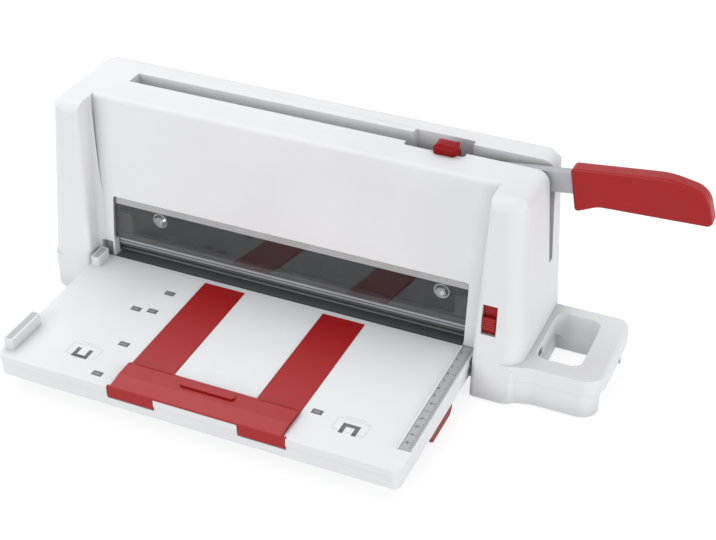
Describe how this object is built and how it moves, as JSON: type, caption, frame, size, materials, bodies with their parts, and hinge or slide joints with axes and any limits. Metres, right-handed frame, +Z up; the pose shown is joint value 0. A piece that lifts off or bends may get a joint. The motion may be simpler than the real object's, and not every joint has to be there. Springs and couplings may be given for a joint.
{
  "type": "paper cutter",
  "caption": "Desk paper cutter with a long side lever, an enclosed guillotine blade, a folding feed table with a sliding guide, and a carry loop.",
  "frame": {"origin": "middle of the overall footprint, on the desk", "axes": "+X along the length, towards the handle; +Y from the user to the rear; +Z up"},
  "size_m": [0.5598, 0.2608, 0.1958],
  "materials": {
    "white_plastic": "fine satin moulding",
    "red_plastic": "satin red moulding",
    "smoke_guard": "clear smoked sheet",
    "lamp_strip": "clear strip",
    "dark_steel": "satin dark paint",
    "bright_steel": "turned steel",
    "blade_steel": "ground steel",
    "chrome_bolt": "polished",
    "lever_grey": "light grey satin paint",
    "bronze": "plain",
    "press_metal": "satin",
    "rubber": "matte",
    "grey_plastic": "soft grey pad",
    "ruler_grey": "printed scale",
    "stick_plastic": "natural"
  },
  "bodies": {
    "frame": {"base_moulding": "white_plastic", "base_plate": "dark_steel", "rubber_feet": "rubber", "front_cover": "white_plastic", "rear_cover": "white_plastic", "safety_guard": "smoke_guard", "cut_line_lamp": "lamp_strip", "bed_strip": "dark_steel", "frame_plate": "dark_steel", "frame_brackets": "dark_steel", "guide_studs": "bright_steel", "frame_screws": "bright_steel", "lever_shaft": "bright_steel", "shaft_clip": "bright_steel", "cutting_stick": "stick_plastic", "cover_screws": "bright_steel", "hinge_pins": "bright_steel"},
    "lever": {"lever_arm": "lever_grey", "pivot_bush": "bronze", "drive_pin": "bright_steel", "lock_lug": "bright_steel", "handle_grip": "red_plastic", "handle_screws": "bright_steel"},
    "carriage": {"blade_carrier": "dark_steel", "blade": "blade_steel", "blade_bolts": "chrome_bolt"},
    "press": {"press_bar": "press_metal", "press_pad": "rubber"},
    "table": {"table_panel": "white_plastic", "side_fences": "white_plastic", "fence_pads": "grey_plastic", "ruler_strip": "ruler_grey", "leg_pins": "bright_steel"},
    "guide": {"paper_guide": "red_plastic"},
    "lock": {"lock_knob": "red_plastic"},
    "switch": {"lamp_switch": "red_plastic"},
    "left_leg": {"left_leg": "red_plastic"},
    "right_leg": {"right_leg": "red_plastic"}
  },
  "joints": [
    {"name": "lever_swing", "type": "hinge", "parent": "frame", "child": "lever", "pos_m": [-0.23242, 0.093, 0.124], "axis": [0, -1, 0], "range_deg": [-6.5, 53]},
    {"name": "carriage_slide", "type": "slide", "parent": "frame", "child": "carriage", "axis": [0.5, 0, 0.866], "range_m": [-0.0026, 0.0206]},
    {"name": "press_lift", "type": "slide", "parent": "frame", "child": "press", "axis": [0, 0, 1], "range_m": [-0.0023, 0.0178]},
    {"name": "table_fold", "type": "hinge", "parent": "frame", "child": "table", "pos_m": [-0.06042, 0.0255, 0.027], "axis": [-1, 0, 0], "range_deg": [0, 90]},
    {"name": "guide_pull", "type": "slide", "parent": "table", "child": "guide", "axis": [0, -1, 0], "range_m": [0, 0.095]},
    {"name": "lock_slide", "type": "slide", "parent": "frame", "child": "lock", "axis": [1, 0, 0], "range_m": [-0.014, 0]},
    {"name": "lamp_slide", "type": "slide", "parent": "frame", "child": "switch", "axis": [0, 0.0821, 0.9966], "range_m": [0, 0.006]},
    {"name": "left_leg_fold", "type": "hinge", "parent": "table", "child": "left_leg", "pos_m": [-0.22942, -0.0325, 0.022], "axis": [0, -1, 0], "range_deg": [0, 90]},
    {"name": "right_leg_fold", "type": "hinge", "parent": "table", "child": "right_leg", "pos_m": [0.10858, -0.0325, 0.022], "axis": [0, 1, 0], "range_deg": [0, 90]}
  ],
  "couplings": [
    {"joint": "carriage_slide", "follows": "lever_swing", "m_per_rad": 0.022055},
    {"joint": "press_lift", "follows": "lever_swing", "m_per_rad": 0.0191}
  ]
}
